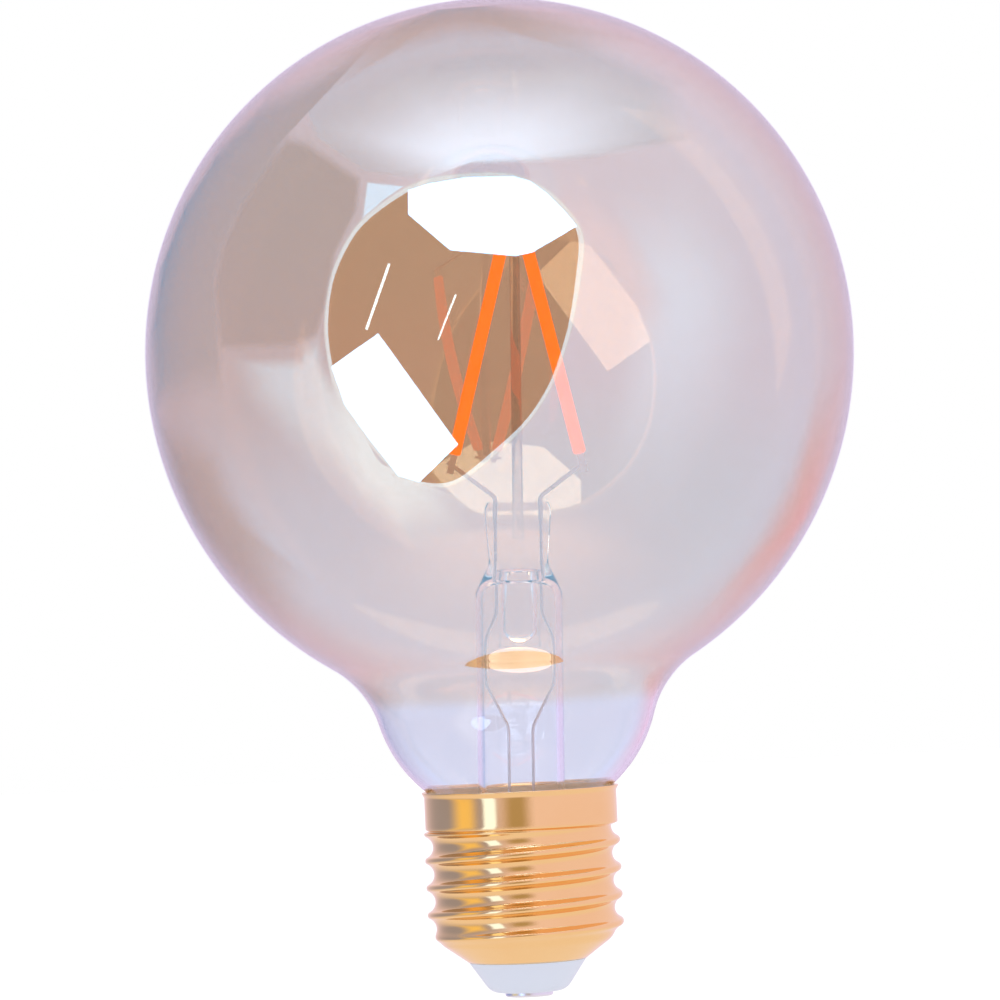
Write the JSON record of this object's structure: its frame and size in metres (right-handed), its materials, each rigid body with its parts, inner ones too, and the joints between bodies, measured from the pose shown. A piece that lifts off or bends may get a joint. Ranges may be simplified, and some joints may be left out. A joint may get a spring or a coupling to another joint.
{
  "type": "globe bulb",
  "caption": "Globe lamp in amber smoke glass on a screw cap, with two slanting light bars on a glass stem and the driver hidden in the cap",
  "frame": {"origin": "centre of the bottom face of the centre contact", "axes": "+Z from the contact up the lamp axis to the top of the globe; the two light bars face -Y, side by side along X"},
  "size_m": [0.095, 0.095, 0.1336],
  "materials": {
    "envelope_glass": "amber smoke glass with a thin mirror coat, clear at the neck",
    "stem_glass": "clear glass",
    "lead_wire": "drawn wire",
    "terminal_strip": "stamped strip",
    "filament_coat": "soft orange coat",
    "copper_wire": "bare copper-clad wire",
    "board_laminate": "pale laminate",
    "chip_plastic": "moulded black",
    "can_sleeve": "dark sleeve",
    "resistor_body": "lacquered body",
    "cap_brass": "rolled sheet, warm gold",
    "insulator_plastic": "white moulding",
    "contact_metal": "pressed rivet",
    "cement": "baked brown cement"
  },
  "bodies": {
    "root": {"bridge_rectifier": "chip_plastic", "cap_cement": "cement", "cap_insulator": "insulator_plastic", "cap_shell": "cap_brass", "centre_contact": "contact_metal", "current_regulator": "chip_plastic", "driver_board": "board_laminate", "exhaust_tube": "stem_glass", "filament_left": "filament_coat", "filament_right": "filament_coat", "fuse_resistor": "resistor_body", "glass_envelope": "envelope_glass", "glass_pillar": "stem_glass", "inner_lead_left": "lead_wire", "inner_lead_right": "lead_wire", "lower_terminal_left": "terminal_strip", "lower_terminal_right": "terminal_strip", "outer_lead_left": "copper_wire", "outer_lead_right": "copper_wire", "seal_wire_left": "copper_wire", "seal_wire_right": "copper_wire", "shell_wire": "copper_wire", "smoothing_capacitor": "can_sleeve", "stem_flare": "stem_glass", "top_anchor": "lead_wire", "upper_terminal_left": "terminal_strip", "upper_terminal_right": "terminal_strip"}
  },
  "joints": []
}
